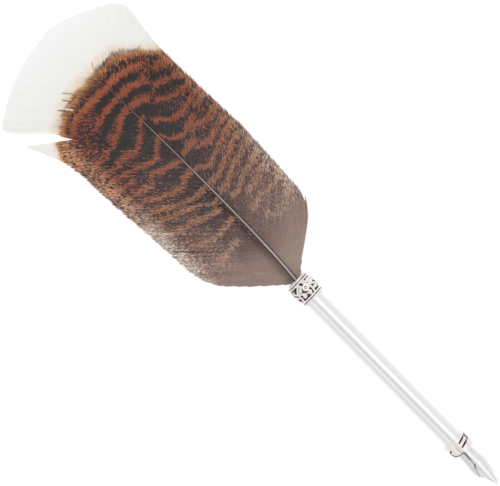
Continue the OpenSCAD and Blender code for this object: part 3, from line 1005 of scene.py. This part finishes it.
# Half width of the nib, by distance from the tip
NIB_WIDTH = [
    (0, 0.35), (1.5, 0.95), (3, 1.45), (4.5, 1.9), (6, 2.5), (7.5, 3.25), (9, 4.15), (10.5, 4.75),
    (SHOULDER_AT, SHOULDER_R), (18, 4.55), (21, SHANK_R), (40, SHANK_R),
]
# Half angle that the sheet wraps round, in degrees, by distance from the tip
NIB_WRAP = [(0, 16), (4.5, 29), (7.5, 48), (9, 68), (10.5, 85), (SHOULDER_AT, 104), (40, 104)]
# Place of the crease beside the raised middle, in degrees from the spine
NIB_CREASE = [
    (0, 90), (7, 90), (8.6, 73), (10.2, 61), (11.6, 51), (13, 46), (14.3, 42), (15.6, 32), (17, 31),
    (19.5, 29.5), (24, 26), (40, 26),
]
# How dark the painted shade and painted dark reflection along the crease are on the side that faces left,
# by distance from the tip
NIB_CREASE_SHADE = [
    (0, 0), (6, 0.2), (8.2, 1.2), (9.6, 1.0), (11, 0.65), (13.6, 0.65), (14.4, 1.5), (15.7, 1.5),
    (16.6, 0.7), (18.4, 0.8), (19.4, 1.6), (40, 1.6),
]
HOLE_AT, HOLE_R = 14.9, 0.6
SLIT_HALF = 0.06


def spine_height(d):
    """Height of the nib's spine over the pen's axis, by distance from the tip."""
    fall = np.maximum(0, SHOULDER_AT - d)
    return np.where(d < SHOULDER_AT, SHOULDER_R - fall * TIP_SLOPE - TIP_DIP * fall**2, curve(d, NIB_WIDTH))


def spine_gap(d):
    """Half the width of the opening along the spine: the slit, and the breather hole at its end."""
    slit = np.where(d < HOLE_AT, SLIT_HALF, 0.0)
    return np.maximum(slit, np.sqrt(np.maximum(HOLE_R**2 - (d - HOLE_AT) ** 2, 0)))


def sheet_faces(rows, columns, gap, first, side):
    """Faces of one half of the sheet: its outside and inside, and its edges, but not where halves meet."""
    upper, lower = first, first + rows * columns
    faces = []

    def quad(a, b, c, e):
        faces.append((a, b, c, e) if side < 0 else (e, c, b, a))

    for i in range(rows - 1):
        for k in range(columns - 1):
            a = i * columns + k
            quad(upper + a, upper + a + 1, upper + a + columns + 1, upper + a + columns)
            quad(lower + a, lower + a + columns, lower + a + columns + 1, lower + a + 1)
        a, b = i * columns, (i + 1) * columns
        if gap[i] > 0 or gap[i + 1] > 0:
            quad(upper + a, upper + b, lower + b, lower + a)
        a, b = a + columns - 1, b + columns - 1
        quad(upper + a, lower + a, lower + b, upper + b)
    for k in range(columns - 1):
        quad(upper + k, lower + k, lower + k + 1, upper + k + 1)
        e = (rows - 1) * columns + k
        quad(upper + e, upper + e + 1, lower + e + 1, lower + e)
    return faces


def nib(material):
    """The sheet of the nib, rolled into a shank, shouldered, creased beside its middle and slit."""
    columns = 40
    by_tip = np.arange(0, HOLE_AT + 1, 0.15)
    by_shank = np.arange(HOLE_AT + 1.1, NIB_OUT + 12, 0.4)
    d = np.concatenate([by_tip, by_shank, [NIB_TIP - NIB_FROM]])
    width = curve(d, NIB_WIDTH)
    wrap = np.radians(curve(d, NIB_WRAP))
    crease = np.radians(np.interp(d, *zip(*NIB_CREASE)))[:, None]
    r = np.where(wrap < math.pi / 2, width / np.sin(np.minimum(wrap, math.pi / 2)), width)[:, None]
    gap = spine_gap(d)
    share = np.linspace(0, 1, columns)
    points, marks, faces = [], [], []
    for half, side in enumerate((-1, 1)):
        edge = gap[:, None] / np.maximum(r, 0.5)
        angle = edge + (wrap[:, None] - edge) * share
        off = (angle - crease) * r
        step = 0.17 * smooth(off, -0.16, 0.16) * smooth(d, 5, 8)[:, None]
        groove = 0.10 * np.exp(-((off / 0.3) ** 2)) * smooth(d, 7, 9)[:, None]
        # Strength of the painted shade and painted dark reflection along the crease: strong on the side
        # that faces left, faint on the other
        patchiness = np.interp(d, *zip(*NIB_CREASE_SHADE)) if side < 0 else 0.2 + 0 * d
        mark = np.exp(-((off / 0.5) ** 2)) * (smooth(d, 6, 8) * patchiness)[:, None]
        # Painted shade over the outer part of each wing beyond the crease, darker on the side that faces
        # left
        soft_patch = (0.14 if side < 0 else 0.07) * smooth(off, 0, 0.5) * smooth(d, 7, 10)[:, None]
        mark = np.maximum(mark, soft_patch)
        for thickness in (0.0, NIB_T):
            layer_r = np.maximum(r - step - groove - thickness, 0.15)
            y = side * layer_r * np.sin(angle)
            z = spine_height(d)[:, None] - r + layer_r * np.cos(angle)
            turned_y = y * math.cos(NIB_ROLL) + z * math.sin(NIB_ROLL)
            turned_z = z * math.cos(NIB_ROLL) - y * math.sin(NIB_ROLL)
            points.append(world_points((NIB_TIP - d)[:, None], turned_y, AXIS_Z + turned_z))
            marks.append((mark if thickness == 0 else mark * 0).ravel())
        faces += sheet_faces(len(d), columns, gap, half * 2 * len(d) * columns, side)
    points = np.concatenate(points)
    piece = add_mesh("nib_sheet", points, faces, material, "nib", ["nib"], soft=True)
    weigh(piece, "crease", np.concatenate(marks))
    work = bmesh.new()
    work.from_mesh(piece.data)
    bmesh.ops.remove_doubles(work, verts=work.verts, dist=1e-7)
    work.to_mesh(piece.data)
    work.free()
    piece.modifiers.new("edges", "EDGE_SPLIT").split_angle = math.radians(50)


def pellet(material):
    """The rounded bead of hard metal at the nib's point."""
    height = spine_height(0) - 0.15
    across, up = height * math.sin(NIB_ROLL), height * math.cos(NIB_ROLL)
    place = Vector(world_points(NIB_TIP - 0.5, across, AXIS_Z + up)[0])
    work = bmesh.new()
    bmesh.ops.create_icosphere(work, subdivisions=3, radius=PELLET_R * MM)
    for v in work.verts:
        v.co.x *= 1.0 if v.co.x > 0 else 2.2
    points = [v.co + place for v in work.verts]
    faces = [[v.index for v in f.verts] for f in work.faces]
    work.free()
    piece = add_mesh("nib_point", points, faces, material, "nib", [], soft=True)
    weigh(piece, "crease", np.zeros(len(points)))


# ---- Room ----
# The camera hangs over the desk, turned so that the pen lies from the top left to the bottom right
PHOTO_TURN = math.radians(45.4)
SHOT_WIDTH = 0.2489
SHOT_CENTRE = (-0.0123, 0.0045)
DESK_HALF = 12


def camera():
    """The photo's view, from straight above."""
    data = bpy.data.cameras.new("camera")
    data.lens, data.sensor_width = 100, 36
    shot = put("camera", data)
    away = SHOT_WIDTH * data.lens / data.sensor_width
    place = Matrix.Translation((*SHOT_CENTRE, AXIS_Z * MM + away))
    shot.matrix_world = place @ Matrix.Rotation(PHOTO_TURN, 4, "Z")
    data.clip_start = 0.01
    bpy.context.scene.camera = shot


# Brightness of the room by direction, in degrees from overhead, negative towards -Y
ROOM = [
    (-180, 1.0), (-140, 0.95), (-117, 0.86), (-98, 0.80), (-82, 0.77), (-50, 0.90), (-36, 0.76),
    (-22, 0.68), (-10, 0.74), (4, 1.02), (27, 1.04), (40, 0.88), (54, 0.80), (90, 0.87), (117, 0.94),
    (144, 1.02), (180, 1.02),
]


def room():
    """A white room whose brightness changes only round the pen's axis, as bands along the barrel."""
    world = bpy.data.worlds.new("soft_room")
    bpy.context.scene.world = world
    w = Nodes("soft_room", world)
    w.tree.nodes.clear()
    where = w.add("ShaderNodeTexCoord").outputs["Generated"]
    parts = w.add("ShaderNodeSeparateXYZ", {0: where}).outputs
    angle = w.math("ARCTAN2", parts["Y"], parts["Z"])
    ramp = w.add("ShaderNodeValToRGB", {0: w.between(angle, 0, 1, -math.pi, math.pi)})
    ramp.color_ramp.interpolation = "EASE"
    stops = ramp.color_ramp.elements
    while len(stops) < len(ROOM):
        stops.new(0.5)
    for stop, (degrees, level) in zip(stops, ROOM):
        stop.position = (degrees + 180) / 360
        stop.color = (level, level, level, 1)
    back = w.add("ShaderNodeBackground", {"Color": ramp.outputs[0]})
    w.add("ShaderNodeOutputWorld", {0: back.outputs[0]})


def lamp():
    """A wide soft light over the feather, which the metal doesn't mirror."""
    data = bpy.data.lights.new("overhead", "AREA")
    data.shape, data.size, data.energy = "DISK", 0.9, 1.6
    light = put("overhead", data)
    light.location = (-0.25, 0.1, 0.9)
    light.rotation_mode = "QUATERNION"
    light.rotation_quaternion = (-light.location).to_track_quat("-Z", "Y")
    light.visible_glossy = False


def desk(material):
    """A pale floor that reaches past the edge of any view."""
    work = bmesh.new()
    bmesh.ops.create_grid(work, x_segments=8, y_segments=8, size=DESK_HALF)
    mesh = bpy.data.meshes.new("desk")
    work.to_mesh(mesh)
    work.free()
    mesh.materials.append(material)
    floor = put("desk", mesh)
    floor.visible_glossy = False


def main():
    """Builds the room, the feather and the metal, in the order of their random draws."""
    camera()
    room()
    lamp()
    desk(desk_material())

    plume = plumage_material()
    roots_right = np.arange(FIRST_ROOT, FEATHER_LEN - 1, BARB_GAP)
    vane("right_barbs", "right_vane", 1, roots_right, right_barb, RIGHT_EDGE, plume)
    roots_left = np.arange(FIRST_ROOT, SPLIT_FROM - 1, BARB_GAP)
    vane("left_barbs", "left_vane", -1, roots_left, left_barb, LEFT_EDGE, plume)
    roots_tip = np.arange(roots_left[-1] + BARB_GAP, FEATHER_LEN - 1, BARB_GAP)
    vane("left_tip_barbs", "left_tip_vane", -1, roots_tip, left_tip_barb, LEFT_TIP_EDGE, plume)
    rachis(horn_material())

    silver = cast_material()
    upper_collar(silver)
    lower_collar(silver)
    bright = polished_material()
    barrel(bright)
    end_ring(bright)
    steel = nib_material()
    nib(steel)
    pellet(steel)
    inner = turned_material("turned_steel", (0.55, 0.55, 0.56), (0.7, 0.7, 0.7), 0.3)
    brass = turned_material("spring_brass", (0.62, 0.46, 0.22), (0.8, 0.65, 0.36), 0.25)
    for node, finish in (("feather_bush", inner), ("nib_bush", inner), ("nib_clip", brass)):
        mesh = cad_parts[node].data
        mesh.materials.clear()
        mesh.materials.append(finish)


main()
bpy.context.scene.view_settings.view_transform = "Standard"
